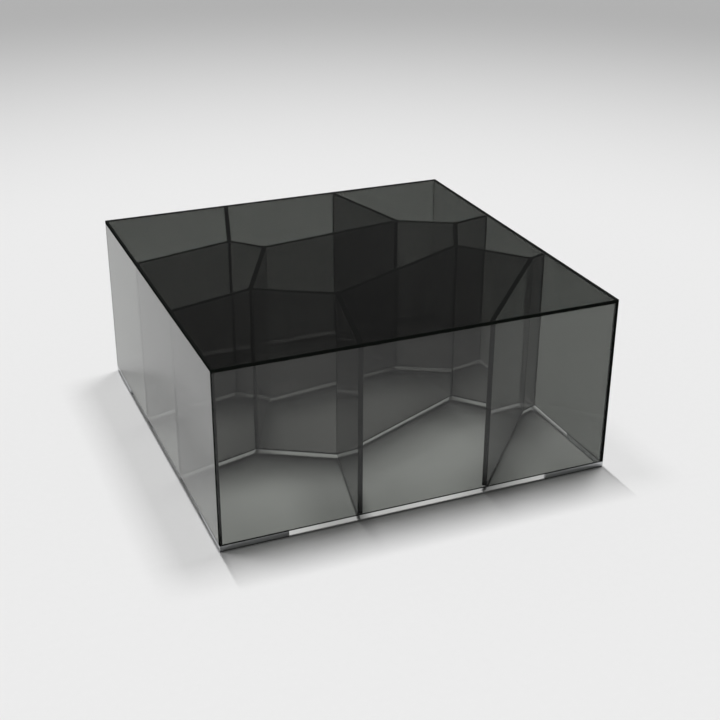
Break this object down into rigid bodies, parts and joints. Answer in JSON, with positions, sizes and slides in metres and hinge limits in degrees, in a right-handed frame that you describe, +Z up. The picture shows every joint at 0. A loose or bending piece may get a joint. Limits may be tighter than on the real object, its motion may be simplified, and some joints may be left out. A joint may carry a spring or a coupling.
{
  "type": "low glass table",
  "caption": "Square low table of smoked grey glass: a closed top and walls around irregular upright divider panes, open underneath, on low steel corner feet.",
  "frame": {"origin": "on the floor under the middle of the square footprint", "axes": "+Z up; -Y towards the front wall; +X towards the right wall as seen from the front"},
  "size_m": [1, 1, 0.455],
  "materials": {
    "outer_glass": "polished smoked grey float glass, polished edges",
    "divider_glass": "polished smoked grey float glass, polished edges",
    "foot_steel": "mirror polished stainless steel",
    "pad_felt": "dense black felt"
  },
  "bodies": {
    "root": {"top_pane": "outer_glass", "front_wall": "outer_glass", "back_wall": "outer_glass", "left_wall": "outer_glass", "right_wall": "outer_glass", "left_rear_divider": "divider_glass", "left_front_divider": "divider_glass", "front_left_divider": "divider_glass", "front_right_divider": "divider_glass", "right_front_divider": "divider_glass", "right_rear_divider": "divider_glass", "back_right_divider": "divider_glass", "back_left_divider": "divider_glass", "core_left_divider": "divider_glass", "core_front_left_divider": "divider_glass", "core_front_right_divider": "divider_glass", "core_right_divider": "divider_glass", "core_back_right_divider": "divider_glass", "core_back_left_divider": "divider_glass", "rear_link_divider": "divider_glass", "front_link_divider": "divider_glass", "front_left_foot": "foot_steel", "front_right_foot": "foot_steel", "back_left_foot": "foot_steel", "back_right_foot": "foot_steel", "front_left_pad": "pad_felt", "front_right_pad": "pad_felt", "back_left_pad": "pad_felt", "back_right_pad": "pad_felt"}
  },
  "joints": []
}
